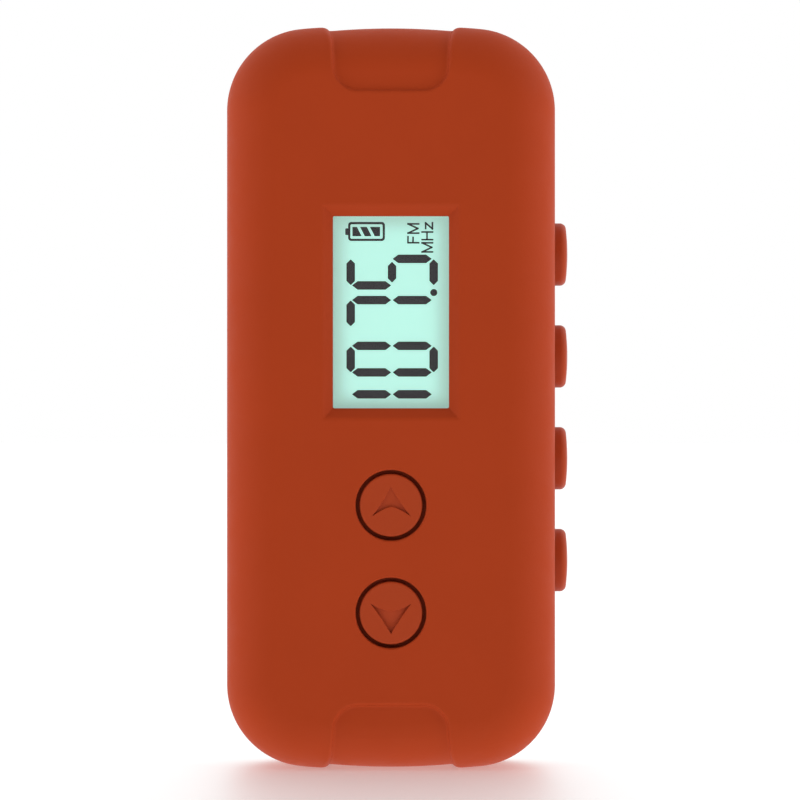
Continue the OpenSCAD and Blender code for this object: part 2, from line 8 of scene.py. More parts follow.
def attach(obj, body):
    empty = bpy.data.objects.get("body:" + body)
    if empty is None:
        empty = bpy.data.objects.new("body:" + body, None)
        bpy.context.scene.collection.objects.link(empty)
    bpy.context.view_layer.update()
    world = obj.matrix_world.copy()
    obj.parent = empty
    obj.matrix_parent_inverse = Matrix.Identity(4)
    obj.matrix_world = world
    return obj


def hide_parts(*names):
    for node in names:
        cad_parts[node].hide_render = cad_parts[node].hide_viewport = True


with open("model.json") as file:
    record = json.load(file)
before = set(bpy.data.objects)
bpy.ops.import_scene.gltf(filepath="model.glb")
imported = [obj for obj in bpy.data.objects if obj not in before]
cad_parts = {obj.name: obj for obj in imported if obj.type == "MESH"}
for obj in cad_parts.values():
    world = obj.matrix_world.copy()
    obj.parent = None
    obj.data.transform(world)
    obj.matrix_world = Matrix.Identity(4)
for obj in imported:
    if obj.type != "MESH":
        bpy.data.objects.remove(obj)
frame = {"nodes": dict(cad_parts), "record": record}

for name in ("Cube", "Light", "Camera"):
    if name in bpy.data.objects:
        bpy.data.objects.remove(bpy.data.objects[name], do_unlink=True)
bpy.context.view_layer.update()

# Sizes in millimetres in the working frame: x right, y up, z towards the front face.
W2, H, MID, D2, WALL = 19.0, 85.8, 42.9, 11.0, 1.8
RC, RK, RF, RB = 9.5, 79.2, 6.0, 4.5
EAR = 8.8
CROWN = MID + RK - math.sqrt(RK * RK - EAR * EAR)
KC = CROWN - RK
CX = W2 - RC
CY = KC + math.sqrt((RK - RC) ** 2 - CX * CX)
OUT = 1.6
PART = -5.5
STEP = 0.62
FLAP = 7.6
LCD_Y, LCD_W, LCD_H, BEVEL = 52.7, 13.32, 22.06, 1.2
KEY_R, KEY_GAP, UP_Y, DOWN_Y = 3.6, 0.45, 30.55, 18.2
SIDE_R, SIDE_YS = 3.65, [23.9 + 11.91 * i for i in (3, 2, 1, 0)]
BOSS = [(x, y) for x in (-14.3, 14.3) for y in (12.0, 72.0)]
POSTS = [(-12.5, 66.5), (12.5, 66.5), (-7.0, 11.6)]
DOOR_X, DOOR_Y0, DOOR_L, DOOR_T = 11.7, 8.9, 50.1, 1.6
BAY_X, BAY_Y0, BAY_L, BAY_FLOOR = 10.75, 9.55, 48.4, 1.2
SPK_Y = 68.3
JACK_Z = 1.3


def to_world(p):
    """Working frame in mm to the row frame in metres."""
    p = np.asarray(p, float)
    return np.stack([p[:, 0] - OUT / 2, -p[:, 2], p[:, 1]], 1) * 1e-3


# ---------------------------------------------------------------- distance fields
def hyp(a, b):
    return np.sqrt(a * a + b * b)


def rmax(a, b, r):
    """Intersection with a rounded convex edge."""
    if np.isscalar(r) and r <= 0:
        return np.maximum(a, b)
    u, v = np.maximum(a + r, 0), np.maximum(b + r, 0)
    return np.minimum(-r, np.maximum(a, b)) + np.sqrt(u * u + v * v)


def rmin(a, b, r):
    """Union with a filleted inner edge."""
    return -rmax(-a, -b, r)


def rect(x, y, w, h, r=0.0):
    qx, qy = np.abs(x) - w / 2 + r, np.abs(y) - h / 2 + r
    return np.minimum(np.maximum(qx, qy), 0) + hyp(np.maximum(qx, 0), np.maximum(qy, 0)) - r


def box(x, y, z, lo, hi, r=0.0):
    q = [np.abs(v - (a + b) / 2) - (b - a) / 2 + r for v, a, b in zip((x, y, z), lo, hi)]
    m = np.maximum(np.maximum(q[0], q[1]), q[2])
    p = [np.maximum(v, 0) for v in q]
    return np.minimum(m, 0) + np.sqrt(p[0] ** 2 + p[1] ** 2 + p[2] ** 2) - r


def cyl_z(x, y, z, cx, cy, r, z0, z1, e=0.0):
    return rmax(hyp(x - cx, y - cy) - r, np.abs(z - (z0 + z1) / 2) - (z1 - z0) / 2, e)


def outline(x, y):
    """The case's outline seen from the front."""
    X, Y = np.abs(x), np.abs(y - MID)
    side = X - W2
    corner = hyp(X - CX, Y - CY) - RC
    crown = hyp(X, Y - KC) - RK
    d = np.where(Y <= CY, side, corner)
    return np.where((Y > CY) & (X * (CY - KC) < CX * (Y - KC)), crown, d)


def form(x, y, z):
    """The case's outer form, crowned at both ends."""
    R = np.where(z > 0, RF, RB)
    a, b = outline(x, y) + R, np.abs(z) - D2 + R
    return np.minimum(np.maximum(a, b), 0) + hyp(np.maximum(a, 0), np.maximum(b, 0)) - R


def body(x, y, z):
    """The form with its ends cut flat, which leaves two flat feet beside each end cap."""
    return rmax(form(x, y, z), np.abs(y - MID) - MID, 0.3)


def cap_u(x, y):
    """The end cap's U seen from the front, both ends at once."""
    Y = MID - np.abs(y - MID)
    side = np.abs(x) - 6.92 + 0.07 * Y - 0.4 * np.maximum(0, 1 - np.maximum(Y, -1) / 2) ** 2
    return rmax(side, Y - FLAP, 2.6)


def cap_edge(y):
    """Rounding of the shell's rim round an end cap, fuller at the open end."""
    return 0.38 + 0.44 * np.maximum(0, 1 - (MID - np.abs(y - MID)) / 2.4)


def front_shell(x, y, z):
    b = body(x, y, z)
    s = rmax(b, PART - z, 0.14)
    s = np.maximum(s, -(b + WALL))
    bosses = np.minimum.reduce([hyp(x - cx, y - cy) for cx, cy in BOSS]) - 2.1
    bosses = np.maximum(bosses, np.maximum(PART + 0.05 - z, z - 9.4))
    posts = np.minimum.reduce([hyp(x - cx, y - cy) for cx, cy in POSTS]) - 1.9
    posts = np.maximum(posts, np.maximum(5.2 - z, z - 9.4))
    s = np.minimum(s, np.minimum(bosses, posts))
    s = rmax(s, -cap_u(x, y), cap_edge(y))
    pilot = np.minimum.reduce([hyp(x - cx, y - cy) for cx, cy in BOSS]) - 1.02
    s = np.maximum(s, -np.maximum(pilot, z - 1.9))
    pilot = np.minimum.reduce([hyp(x - cx, y - cy) for cx, cy in POSTS]) - 0.82
    s = np.maximum(s, -np.maximum(pilot, z - 8.2))
    # display window
    yy = y - LCD_Y
    cheb = np.maximum(np.abs(x) - LCD_W / 2, np.abs(yy) - LCD_H / 2)
    bevel = (cheb * 0.75 - (z - (D2 - 0.9))) * 0.8
    s = rmax(s, -np.maximum(bevel, 5 - z), 0.16)
    s = rmax(s, -np.maximum(rect(x, yy, LCD_W, LCD_H, 0.12), 5 - z), 0.1)
    seat = box(x, yy, z, (-LCD_W / 2 - 2.15, -LCD_H / 2 - 2.25, 7), (LCD_W / 2 + 2.15, LCD_H / 2 + 2.25, 9.6))
    s = np.maximum(s, -seat)
    for ky in (UP_Y, DOWN_Y):
        s = rmax(s, -np.maximum(hyp(x, y - ky) - KEY_R - KEY_GAP, 7 - z), 0.1)
    for ky in SIDE_YS:
        s = rmax(s, -np.maximum(hyp(z, y - ky) - SIDE_R - 0.25, 15 - x), 0.2)
    return s


def rear_shell(x, y, z):
    b = body(x, y, z)
    s = rmax(b, z - PART, 0.14)
    s = np.maximum(s, -(b + WALL))
    lip = np.maximum(np.maximum(b + WALL + 0.08, -(b + WALL + 0.9)), np.maximum(PART - 1.5 - z, z - PART - 0.8))
    boss = np.minimum.reduce([hyp(x - cx, y - cy) for cx, cy in BOSS])
    lip = np.maximum(lip, np.maximum(1.35 - cap_u(x, y), 2.3 - boss))
    s = np.minimum(s, lip)
    cy = DOOR_Y0 + DOOR_L / 2
    by = BAY_Y0 + BAY_L / 2
    ledge = np.maximum(rect(x, y - cy, 2 * DOOR_X + 2.4, DOOR_L + 2.6, 1.5), np.maximum(-9.3 - z, z + 8.3))
    bay = box(x, y, z, (-BAY_X - 1, BAY_Y0 - 1, -9.3), (BAY_X + 1, BAY_Y0 + BAY_L + 1, BAY_FLOOR + 1))
    s = np.minimum(s, np.minimum(ledge, bay))
    s = np.minimum(s, np.maximum(boss - 2.7, np.maximum(-10 - z, z - PART + 0.05)))
    ring = np.maximum(np.abs(hyp(x, y - SPK_Y) - 8.45) - 0.45, np.maximum(-9.4 - z, z + 6))
    ring = np.maximum(ring, np.maximum(1.35 - cap_u(x, y), BAY_Y0 + BAY_L - y))
    s = np.minimum(s, ring)
    s = rmax(s, -cap_u(x, y), cap_edge(y))
    s = np.maximum(s, -box(x, y, z, (-BAY_X, BAY_Y0, -12), (BAY_X, BAY_Y0 + BAY_L, BAY_FLOOR)))
    door = np.maximum(rect(x, y - cy, 2 * DOOR_X + 0.3, DOOR_L + 0.3, 1.6), z + 9.3)
    s = rmax(s, -door, 0.2)
    for sx in (-9, 9):
        s = np.maximum(s, -box(x, y, z, (sx - 1.5, DOOR_Y0 - 1.5, -9.35), (sx + 1.5, DOOR_Y0 + 2.4, -7.75)))
    s = rmax(s, -np.maximum(boss - 1.9, z + 8.8), 0.2)
    s = np.maximum(s, -np.maximum(boss - 1.15, z + 3))
    s = np.maximum(s, -np.maximum(hyp(x, y - SPK_Y) - 8.1, np.maximum(-9.2 - z, z + 3.2)))
    slots = None
    for i in range(-2, 3):
        half = math.sqrt(38 - (i * 2.3) ** 2) - 0.55
        d = hyp(np.maximum(np.abs(x) - half, 0), y - SPK_Y - i * 2.3) - 0.55
        slots = d if slots is None else np.minimum(slots, d)
    s = rmax(s, -np.maximum(slots, z + 8), 0.18)
    scoop = np.maximum(hyp(y - DOOR_Y0 - DOOR_L - 0.6, z + 14.2) - 3.9, np.abs(x) - 3.5)
    s = rmax(s, -scoop, 0.2)
    return s


def end_cap(x, y, z):
    """Bottom end cap; the top one is its mirror image."""
    b, u = form(x, y, z), cap_u(x, y)
    # shallower on the faces than at the end, and swept up to meet the shell's rim
    Y = MID - np.abs(y - MID)
    step = STEP - 0.1 * np.clip((Y - 0.8) / 3.0, 0, 1)
    step = step * (1 - 0.4 * np.exp(-np.maximum(-u, 0) / 0.14) * np.clip((Y - 0.2) / 1.2, 0, 1))
    s = rmax(b + step, u - 0.12, 0)
    inner = np.maximum(np.maximum(b + WALL + 0.08, u - 1.2), np.maximum(-10 - z, z - 10))
    s = np.minimum(s, inner)
    s = np.maximum(s, -(b + WALL + 1.1))
    s = np.maximum(s, y - FLAP - 3)
    return np.maximum(s, -box(x, y, z, (-30, FLAP - 0.25, -9.4), (30, 60, -5.4)))


def top_cap(x, y, z):
    s = end_cap(x, H - y, z)
    return rmax(s, -np.maximum(hyp(x, z - JACK_Z) - 2.6, 70 - y), 0.22)


def door(x, y, z):
    cy = DOOR_Y0 + DOOR_L / 2
    s = rmax(rect(x, y - cy, 2 * DOOR_X, DOOR_L, 1.5), np.abs(z + 10.2) - 0.8, 0.16)
    top = DOOR_Y0 + DOOR_L
    for sx in (-5.2, 5.2):
        s = rmax(s, -np.maximum(np.abs(x - sx) - 0.35, top - 7 - y), 0.12)
    recess = box(x, y, z, (-3.8, top - 6.6, -13), (3.8, top - 1.8, -10.4), 0.25)
    for i in range(3):
        recess = np.maximum(recess, -box(x, y, z, (-3.4, top - 6 + i * 1.4, -10.95), (3.4, top - 5.4 + i * 1.4, -9), 0.12))
    s = rmax(s, -recess, 0.12)
    for sx in (-9, 9):
        s = np.minimum(s, box(x, y, z, (sx - 1.3, DOOR_Y0 - 1.2, -9.05), (sx + 1.3, DOOR_Y0 + 0.6, -8.25), 0.15))
        s = np.minimum(s, box(x, y, z, (sx - 1.3, DOOR_Y0 + 0.05, -10), (sx + 1.3, DOOR_Y0 + 0.6, -8.4)))
    return np.minimum(s, box(x, y, z, (-0.5, DOOR_Y0 + 5, -10), (0.5, DOOR_Y0 + DOOR_L - 9, -8.5), 0.1))


def poly(x, y, pts):
    """Signed distance to a closed polygon."""
    d = (x - pts[0][0]) ** 2 + (y - pts[0][1]) ** 2
    inside = np.zeros(x.shape, bool)
    for (ax, ay), (bx, by) in zip(pts, pts[1:] + pts[:1]):
        ex, ey = bx - ax, by - ay
        wx, wy = x - ax, y - ay
        t = np.clip((wx * ex + wy * ey) / (ex * ex + ey * ey), 0, 1)
        d = np.minimum(d, (wx - ex * t) ** 2 + (wy - ey * t) ** 2)
        cross = ex * wy - ey * wx
        inside ^= ((ay <= y) & (by > y) & (cross > 0)) | ((by <= y) & (ay > y) & (cross < 0))
    return np.where(inside, -1, 1) * np.sqrt(d)


def bow(a, b, sag, n=5):
    """Points from a to b on a shallow arc that bends sag to the left."""
    (ax, ay), (bx, by) = a, b
    nx, ny = -(by - ay), bx - ax
    k = math.hypot(nx, ny)
    out = []
    for i in range(n):
        t = i / n
        s = 4 * t * (1 - t) * sag
        out.append((ax + (bx - ax) * t + nx / k * s, ay + (by - ay) * t + ny / k * s))
    return out


PX = 0.116 / 1.0121
UP_ARROW = (
    bow((0.0, 2.06), (-2.16, -1.28), 0.1) + bow((-2.16, -1.28), (0.0, -0.12), 0.13)
    + bow((0.0, -0.12), (2.3, -1.28), 0.13) + bow((2.3, -1.28), (0.0, 2.06), 0.1)
)
DOWN_ARROW = (
    bow((0.0, -2.38), (2.28, 1.03), 0.06) + bow((2.28, 1.03), (0.0, 0.2), 0.16)
    + bow((0.0, 0.2), (-2.3, 1.06), 0.16) + bow((-2.3, 1.06), (0.0, -2.38), 0.06)
)


def front_key(arrow, floor):
    """Round key about its own axis. floor gives the engraving's depth at x, y."""
    def f(x, y, z):
        rho = hyp(x, y)
        s = rmax(rho - KEY_R, np.abs(z - 9.9) - 1.0, 0.26)
        flange = np.maximum(rho - KEY_R - 0.9, np.abs(z - 8.65) - 0.45)
        stem = np.maximum(rho - 1.5, np.abs(z - 8.0) - 0.6)
        s = np.minimum(s, np.minimum(flange, stem))
        cut = np.maximum(poly(x, y, arrow), (10.9 - floor(x, y)) - z)
        return rmax(s, -cut, 0.05)
    return f


def side_key(x, y, z):
    """Round key along x, about y = 0, z = 0."""
    rho = hyp(y, z)
    dome = np.sqrt((x - W2 - OUT + 25.0) ** 2 + rho ** 2) - 25.0
    s = rmax(rmax(rho - SIDE_R, dome, 0.6), 17.0 - x, 0)
    flange = np.maximum(rho - SIDE_R - 0.8, np.abs(x - 16.6) - 0.5)
    return np.minimum(s, flange)


# ---------------------------------------------------------------- field to mesh
def grad(f, p, e):
    g = np.empty_like(p)
    for k in range(3):
        q, r = p.copy(), p.copy()
        q[:, k] += e
        r[:, k] -= e
        g[:, k] = f(*q.T) - f(*r.T)
    return g / (2 * e)


def net(f, lo, hi, h):
    """Surface net of f = 0 in the box lo..hi with cells of h, evaluated near the surface only."""
    B = 8
    lo = np.array(lo, float)
    nb = np.ceil((np.array(hi, float) - lo) / (B * h)).astype(int)
    n = nb * B
    F = np.empty(n, np.float32)
    ci = np.stack(np.meshgrid(*[np.arange(k) for k in nb], indexing="ij"), -1).reshape(-1, 3)
    centre = lo + (ci * B + (B - 1) / 2) * h
    d = f(*centre.T)
    near = np.abs(d) < B * h * 0.87 * 1.25 + 2 * h
    G = F.reshape(nb[0], B, nb[1], B, nb[2], B)
    fill = np.where(d > 0, 9.0, -9.0).reshape(nb)
    G[:] = fill[:, None, :, None, :, None]
    off = np.stack(np.meshgrid(*[np.arange(B)] * 3, indexing="ij"), -1).reshape(1, -1, 3)
    picked = ci[near]
    for i in range(0, len(picked), 3000):
        c = picked[i:i + 3000]
        p = (lo + (c[:, None, :] * B + off) * h).reshape(-1, 3)
        v = f(*p.T).reshape(-1, B, B, B).astype(np.float32)
        G[c[:, 0], :, c[:, 1], :, c[:, 2], :] = v
    inside = F < 0
    s = inside.astype(np.uint8)
    count = np.zeros(np.array(n) - 1, np.uint8)
    for a in (0, 1):
        for b in (0, 1):
            for c in (0, 1):
                count += s[a:n[0] - 1 + a, b:n[1] - 1 + b, c:n[2] - 1 + c]
    active = (count > 0) & (count < 8)
    cells = np.argwhere(active)
    ids = np.full(active.shape, -1, np.int32)
    ids[active] = np.arange(len(cells), dtype=np.int32)
    total, hits = np.zeros((len(cells), 3)), np.zeros(len(cells))
    for axis in range(3):
        others = [k for k in range(3) if k != axis]
        for a in (0, 1):
            for b in (0, 1):
                o = np.zeros(3, int)
                o[others[0]], o[others[1]] = a, b
                e = o.copy()
                e[axis] = 1
                f0 = F[tuple((cells + o).T)]
                f1 = F[tuple((cells + e).T)]
                cut = (f0 < 0) != (f1 < 0)
                t = np.where(cut, f0 / np.where(cut, f0 - f1, 1), 0)
                q = np.repeat(o[None].astype(float), len(cells), 0)
                q[:, axis] = t
                total += q * cut[:, None]
                hits += cut
    v = lo + (cells + total / hits[:, None]) * h
    quads = []
    for axis in range(3):
        u, w = [(1, 2), (2, 0), (0, 1)][axis]
        sl0, sl1 = [slice(None)] * 3, [slice(None)] * 3
        sl0[axis], sl1[axis] = slice(0, -1), slice(1, None)
        a, b = inside[tuple(sl0)], inside[tuple(sl1)]
        edge = np.argwhere(a != b)
        ok = (edge[:, u] > 0) & (edge[:, w] > 0) & (edge[:, u] < n[u] - 1) & (edge[:, w] < n[w] - 1)
        edge = edge[ok]
        out = a[tuple(edge.T)]
        q = []
        for du, dw in ((0, 0), (-1, 0), (-1, -1), (0, -1)):
            c = edge.copy()
            c[:, u] += du
            c[:, w] += dw
            q.append(ids[tuple(c.T)])
        q = np.stack(q, 1)
        q[~out] = q[~out][:, ::-1]
        quads.append(q)
    quads = np.concatenate(quads)
    for _ in range(3):
        g = grad(f, v, 0.02)
        k = (g * g).sum(1)
        step = (f(*v.T) / np.maximum(k, 0.2))[:, None] * g
        size = np.sqrt((step * step).sum(1))
        step *= (np.minimum(size, 0.5 * h) / np.maximum(size, 1e-9))[:, None]
        v = v - step
    return v, quads


def build(name, f, lo, hi, h, ride, replaces, material, keep=1.0, move=None):
    """A mesh piece from a distance field, thinned where it is flat, with the field's own normals."""
    v, q = net(f, lo, hi, h)
    me = bpy.data.meshes.new(name)
    me.from_pydata([], [], [])
    me.vertices.add(len(v))
    me.vertices.foreach_set("co", v.astype(np.float32).ravel())
    me.loops.add(q.size)
    me.loops.foreach_set("vertex_index", q.astype(np.int32).ravel())
    me.polygons.add(len(q))
    me.polygons.foreach_set("loop_start", (np.arange(len(q)) * 4).astype(np.int32))
    me.update(calc_edges=True)
    ob = bpy.data.objects.new(name, me)
    bpy.context.scene.collection.objects.link(ob)
    if keep < 1:
        m = ob.modifiers.new("thin", "DECIMATE")
        m.ratio = keep
        dg = bpy.context.evaluated_depsgraph_get()
        new = bpy.data.meshes.new_from_object(ob.evaluated_get(dg))
        ob.modifiers.clear()
        ob.data = new
        bpy.data.meshes.remove(me)
        me = new
        me.name = name
    co = np.empty(len(me.vertices) * 3, np.float32)
    me.vertices.foreach_get("co", co)
    co = co.reshape(-1, 3).astype(float)
    g = grad(f, co, 0.015)
    g /= np.maximum(np.sqrt((g * g).sum(1)), 1e-9)[:, None]
    p = co if move is None else co + np.array(move, float)
    me.vertices.foreach_set("co", to_world(p).astype(np.float32).ravel())
    me.polygons.foreach_set("use_smooth", np.ones(len(me.polygons), bool))
    me.update()
    nrm = np.stack([g[:, 0], -g[:, 2], g[:, 1]], 1)
    me.normals_split_custom_set_from_vertices([tuple(map(float, t)) for t in nrm])
    me.materials.append(material)
    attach(ob, ride)
    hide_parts(*replaces)
    return ob


# ---------------------------------------------------------------- materials
def nodes_of(name):
    m = bpy.data.materials.new(name)
    m.use_nodes = True
    t = m.node_tree
    t.nodes.clear()
    out = t.nodes.new("ShaderNodeOutputMaterial")
    bsdf = t.nodes.new("ShaderNodeBsdfPrincipled")
    t.links.new(bsdf.outputs[0], out.inputs[0])
    co = t.nodes.new("ShaderNodeTexCoord")
    return m, t, bsdf, co.outputs["Object"]


def noise(t, co, scale, detail=2.0, rough=0.5):
    n = t.nodes.new("ShaderNodeTexNoise")
    n.inputs["Scale"].default_value = scale
    n.inputs["Detail"].default_value = detail
    n.inputs["Roughness"].default_value = rough
    t.links.new(co, n.inputs["Vector"])
    return n.outputs["Fac"]


def remap(t, v, a, b, c, d):
    n = t.nodes.new("ShaderNodeMapRange")
    for k, x in zip(("From Min", "From Max", "To Min", "To Max"), (a, b, c, d)):
        n.inputs[k].default_value = x
    t.links.new(v, n.inputs["Value"])
    return n.outputs["Result"]


def mix(t, fac, a, b):
    n = t.nodes.new("ShaderNodeMix")
    n.data_type = "RGBA"
    for sock, v in ((n.inputs[0], fac), (n.inputs[6], a), (n.inputs[7], b)):
        if hasattr(v, "is_linked"):
            t.links.new(v, sock)
        else:
            sock.default_value = v if isinstance(v, float) else (*v, 1.0)
    return n.outputs[2]


def bump(t, bsdf, height, dist, strength=1.0):
    n = t.nodes.new("ShaderNodeBump")
    n.inputs["Distance"].default_value = dist
    n.inputs["Strength"].default_value = strength
    t.links.new(height, n.inputs["Height"])
    t.links.new(n.outputs[0], bsdf.inputs["Normal"])


def plastic(name, colour, rough=0.5, grain=3200.0, depth=0.000012, vary=0.05, spec=0.5):
    """Moulded plastic: fine spark-eroded grain, faint clouding and uneven gloss."""
    m, t, p, co = nodes_of(name)
    cloud = remap(t, noise(t, co, 90.0, 3.0), 0.3, 0.7, 0.0, 1.0)
    fine = noise(t, co, grain, 2.0, 0.6)
    lo = [c * (1 - vary) for c in colour]
    hi = [min(1.0, c * (1 + vary)) for c in colour]
    t.links.new(mix(t, cloud, lo, hi), p.inputs["Base Color"])
    t.links.new(remap(t, noise(t, co, 420.0, 3.0), 0.3, 0.7, rough - 0.05, rough + 0.05), p.inputs["Roughness"])
    p.inputs["Specular IOR Level"].default_value = spec
    bump(t, p, fine, depth)
    return m


def metal(name, colour, rough=0.3, scale=(900.0, 900.0, 60.0), depth=0.000004):
    """Plated or pressed metal with faint drawing lines."""
    m, t, p, co = nodes_of(name)
    p.inputs["Metallic"].default_value = 1.0
    mp = t.nodes.new("ShaderNodeMapping")
    mp.inputs["Scale"].default_value = scale
    t.links.new(co, mp.inputs["Vector"])
    lines = noise(t, mp.outputs[0], 4.0, 3.0, 0.6)
    t.links.new(mix(t, lines, [c * 0.85 for c in colour], colour), p.inputs["Base Color"])
    t.links.new(remap(t, lines, 0.3, 0.7, rough - 0.08, rough + 0.1), p.inputs["Roughness"])
    bump(t, p, lines, depth)
    return m


ORANGE = (0.425, 0.0465, 0.0085)
M = {
    "case_front": plastic("shell_orange", ORANGE, rough=0.6, vary=0.018, spec=0.1),
    "keys": plastic("key_orange", (0.415, 0.0475, 0.0085), rough=0.5, vary=0.018, spec=0.16),
    "white_plastic": plastic("white_nylon", (0.62, 0.62, 0.58), rough=0.5),
    "black_plastic": plastic("black_phenolic", (0.02, 0.02, 0.022), rough=0.45),
    "black_foam": plastic("black_foam", (0.02, 0.02, 0.02), rough=0.9, grain=5200.0, depth=0.00006),
    "backlight": plastic("diffuser", (0.75, 0.82, 0.78), rough=0.35),
    "capacitor_sleeve": plastic("sleeve_blue", (0.03, 0.05, 0.15), rough=0.3, vary=0.1),
    "lead_insulation": plastic("lead_red", (0.35, 0.02, 0.02), rough=0.4),
    "cone": plastic("speaker_film", (0.025, 0.025, 0.03), rough=0.35, grain=1500.0),
    "steel": metal("pressed_steel", (0.55, 0.55, 0.56), 0.38),
    "plated": metal("nickel", (0.72, 0.7, 0.66), 0.22),
    "screws": metal("zinc_dark", (0.32, 0.32, 0.33), 0.34),
    "copper": metal("enamelled_copper", (0.6, 0.25, 0.1), 0.3, (60.0, 4000.0, 4000.0), 0.00002),
}
M["case_rear"] = M["end_caps"] = M["door"] = M["case_front"]


def board_material():
    """Solder mask over tracks: slightly lighter, raised meandering traces."""
    m, t, p, co = nodes_of("solder_mask")
    w = t.nodes.new("ShaderNodeTexWave")
    w.bands_direction = "DIAGONAL"
    w.inputs["Scale"].default_value = 160.0
    w.inputs["Distortion"].default_value = 14.0
    w.inputs["Detail"].default_value = 1.0
    w.inputs["Detail Scale"].default_value = 0.6
    t.links.new(co, w.inputs["Vector"])
    tracks = remap(t, w.outputs["Fac"], 0.55, 0.62, 0.0, 1.0)
    t.links.new(mix(t, tracks, (0.01, 0.09, 0.035), (0.03, 0.17, 0.07)), p.inputs["Base Color"])
    p.inputs["Roughness"].default_value = 0.3
    bump(t, p, tracks, 0.00003)
    return m


def sleeve_material():
    """A cell's printed sleeve: dark with one copper-coloured end band, by height along the cell."""
    m, t, p, co = nodes_of("cell_sleeve")
    sep = t.nodes.new("ShaderNodeSeparateXYZ")
    t.links.new(co, sep.inputs[0])
    side = remap(t, sep.outputs["X"], -0.00081, -0.00079, 0.0, 1.0)
    a = remap(t, sep.outputs["Z"], 0.0405, 0.0406, 0.0, 1.0)
    b = remap(t, sep.outputs["Z"], 0.0269, 0.0268, 0.0, 1.0)
    band = t.nodes.new("ShaderNodeMix")
    t.links.new(side, band.inputs[0])
    t.links.new(a, band.inputs[2])
    t.links.new(b, band.inputs[3])
    t.links.new(mix(t, band.outputs[0], (0.02, 0.022, 0.028), (0.5, 0.24, 0.1)), p.inputs["Base Color"])
    p.inputs["Metallic"].default_value = 0.6
    t.links.new(remap(t, noise(t, co, 300.0, 2.0), 0.3, 0.7, 0.22, 0.36), p.inputs["Roughness"])
    bump(t, p, noise(t, co, 900.0), 0.000006)
    return m


def zebra_material():
    m, t, p, co = nodes_of("zebra_rubber")
    w = t.nodes.new("ShaderNodeTexWave")
    w.bands_direction = "X"
    w.inputs["Scale"].default_value = 900.0
    t.links.new(co, w.inputs["Vector"])
    t.links.new(mix(t, w.outputs["Fac"], (0.6, 0.35, 0.4), (0.04, 0.04, 0.04)), p.inputs["Base Color"])
    p.inputs["Roughness"].default_value = 0.7
    return m


def lcd_material():
    """Backlit display: pale mint, with painted shade darkening it towards its edges where the recess walls would shade
    it, and the polariser's faint mottling.
    """
    m, t, p, co = nodes_of("lcd_mint")
    sep = t.nodes.new("ShaderNodeSeparateXYZ")
    t.links.new(co, sep.inputs[0])

    def recess_shade_falloff(out, centre, half):
        s = t.nodes.new("ShaderNodeMath")
        s.operation = "SUBTRACT"
        s.inputs[1].default_value = centre
        t.links.new(out, s.inputs[0])
        a = t.nodes.new("ShaderNodeMath")
        a.operation = "ABSOLUTE"
        t.links.new(s.outputs[0], a.inputs[0])
        n = t.nodes.new("ShaderNodeMapRange")
        n.interpolation_type = "SMOOTHERSTEP"
        for k, x in zip(("From Min", "From Max", "To Min", "To Max"), (half - 0.0026, half + 0.0003, 1.0, 0.0)):
            n.inputs[k].default_value = x
        t.links.new(a.outputs[0], n.inputs["Value"])
        return n.outputs["Result"]

    # painted shade: 1 in the middle, falling to 0 at the window's edges; it darkens both the colour and the backlight's
    # glow there
    ex = recess_shade_falloff(sep.outputs["X"], -OUT / 2e3, LCD_W / 2e3)
    ez = recess_shade_falloff(sep.outputs["Z"], LCD_Y / 1e3, LCD_H / 2e3)
    edge_shade = t.nodes.new("ShaderNodeMath")
    edge_shade.operation = "MULTIPLY"
    t.links.new(ex, edge_shade.inputs[0])
    t.links.new(ez, edge_shade.inputs[1])
    # the edge colour is painted shade standing in for the recess walls' shadow
    shaded_mint = mix(t, edge_shade.outputs[0], LCD_EDGE_SHADE, LCD_MID)
    mott = mix(t, noise(t, co, 600.0, 2.0), (0.97, 0.97, 0.97), (1.0, 1.0, 1.0))
    n = t.nodes.new("ShaderNodeMix")
    n.data_type = "RGBA"
    n.blend_type = "MULTIPLY"
    n.inputs[0].default_value = 1.0
    t.links.new(shaded_mint, n.inputs[6])
    t.links.new(mott, n.inputs[7])
    t.links.new(n.outputs[2], p.inputs["Base Color"])
    t.links.new(n.outputs[2], p.inputs["Emission Color"])
    p.inputs["Emission Strength"].default_value = LCD_GLOW
    p.inputs["Roughness"].default_value = 0.32
    p.inputs["Specular IOR Level"].default_value = 0.25
    return m


def lens_material():
    """Thin clear window: see-through with a Fresnel gloss."""
    m = bpy.data.materials.new("lens_clear")
    m.use_nodes = True
    t = m.node_tree
    t.nodes.clear()
    out = t.nodes.new("ShaderNodeOutputMaterial")
    tr = t.nodes.new("ShaderNodeBsdfTransparent")
    tr.inputs[0].default_value = (0.985, 0.995, 0.99, 1)
    gl = t.nodes.new("ShaderNodeBsdfGlossy")
    gl.inputs["Roughness"].default_value = 0.04
    co = t.nodes.new("ShaderNodeTexCoord")
    t.links.new(remap(t, noise(t, co.outputs["Object"], 700.0, 3.0), 0.3, 0.7, 0.03, 0.07), gl.inputs["Roughness"])
    fr = t.nodes.new("ShaderNodeFresnel")
    fr.inputs["IOR"].default_value = 1.25
    mx = t.nodes.new("ShaderNodeMixShader")
    t.links.new(fr.outputs[0], mx.inputs[0])
    t.links.new(tr.outputs[0], mx.inputs[1])
    t.links.new(gl.outputs[0], mx.inputs[2])
    t.links.new(mx.outputs[0], out.inputs[0])
    return m


